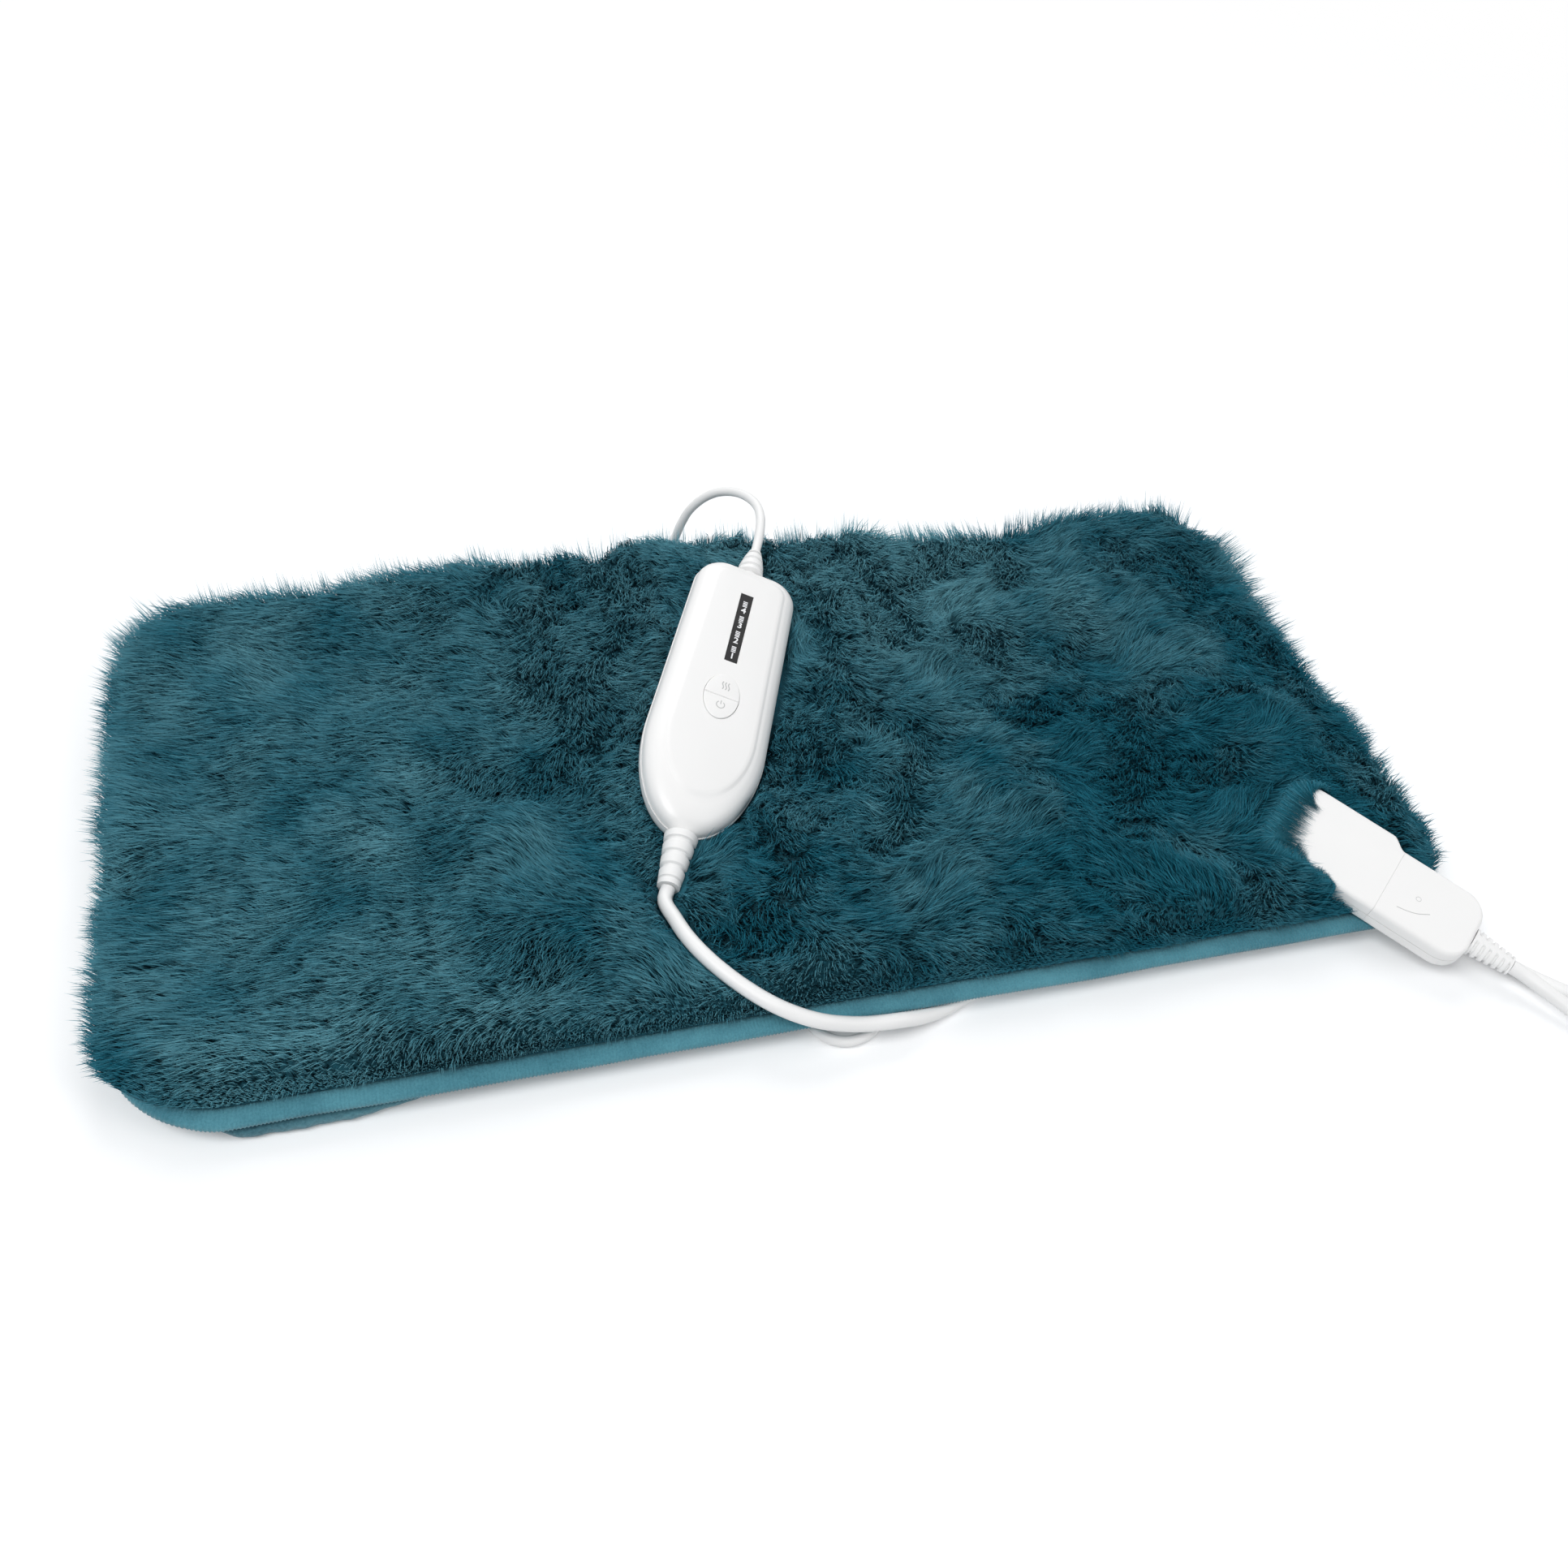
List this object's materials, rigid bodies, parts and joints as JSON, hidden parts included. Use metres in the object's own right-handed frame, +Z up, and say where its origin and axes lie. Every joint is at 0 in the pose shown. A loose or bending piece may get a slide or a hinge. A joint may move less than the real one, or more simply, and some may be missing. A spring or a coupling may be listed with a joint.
{
  "type": "heating pad with controller",
  "caption": "Long-pile electric heating pad with a two-button hand controller, a pull-out connector at one corner and a mains lead put away in a hank.",
  "frame": {"origin": "under the middle of the pad, on the surface it lies on", "axes": "+X along the pad's length, to the end with the connector; +Y to the back edge, over which the mains lead leaves; +Z up"},
  "size_m": [0.7189, 0.4832, 0.0701],
  "materials": {
    "pile": "long-pile fleece",
    "back_fabric": "short plush",
    "binding": "velour",
    "felt": "needle felt",
    "wadding": "polyester wadding",
    "wire_sleeve": "silicone sleeve",
    "white_shell": "satin moulded",
    "window": "smoked window",
    "dark_plastic": "moulded",
    "board": "circuit board",
    "white_rubber": "satin",
    "cord": "satin cable sheath",
    "tin": "plated",
    "brass_pin": "plain"
  },
  "bodies": {
    "root": {"back_cover": "back_fabric", "heater_felt": "felt", "heating_wire": "wire_sleeve", "thermal_fuse_1": "tin", "thermal_fuse_2": "tin", "wadding": "wadding", "fur_cover": "pile", "edge_binding": "binding", "controller_top": "white_shell", "controller_back": "white_shell", "controller_screw_1": "tin", "controller_screw_2": "tin", "controller_screw_3": "tin", "controller_screw_4": "tin", "display_window": "window", "display_module": "dark_plastic", "heat_switch": "dark_plastic", "power_switch": "dark_plastic", "circuit_board": "board", "triac": "dark_plastic", "board_fuse": "tin", "top_relief": "white_rubber", "tip_relief": "white_rubber", "socket_top": "white_shell", "socket_bottom": "white_shell", "socket_block": "dark_plastic", "socket_pin_1": "brass_pin", "socket_pin_2": "brass_pin", "socket_pin_3": "brass_pin", "lead_cord": "cord", "mains_cord": "cord", "mains_run": "cord", "mains_hank": "cord", "cord_tie": "dark_plastic", "mains_plug": "cord", "mains_plug_pin_1": "tin", "mains_plug_pin_2": "tin", "mains_plug_relief": "cord"},
    "heat_key": {"heat_button": "white_shell", "heat_plunger": "white_shell"},
    "power_key": {"power_button": "white_shell", "power_plunger": "white_shell"},
    "pad_plug": {"plug_top": "white_shell", "plug_bottom": "white_shell", "plug_insert": "dark_plastic", "plug_contact_1": "brass_pin", "plug_contact_2": "brass_pin", "plug_contact_3": "brass_pin", "plug_relief": "white_rubber", "plug_screw_1": "tin", "plug_screw_2": "tin"}
  },
  "joints": [
    {"name": "heat_press", "type": "slide", "parent": "root", "child": "heat_key", "axis": [-0.2104, 0.2606, -0.9422], "range_m": [0, 0.0006], "stiffness_N_per_m": 400},
    {"name": "power_press", "type": "slide", "parent": "root", "child": "power_key", "axis": [-0.2104, 0.2606, -0.9422], "range_m": [0, 0.0006], "stiffness_N_per_m": 400},
    {"name": "plug_pull", "type": "slide", "parent": "root", "child": "pad_plug", "axis": [0.6435, -0.7455, -0.1736], "range_m": [0, 0.02], "deforming": ["lead_cord"]}
  ]
}
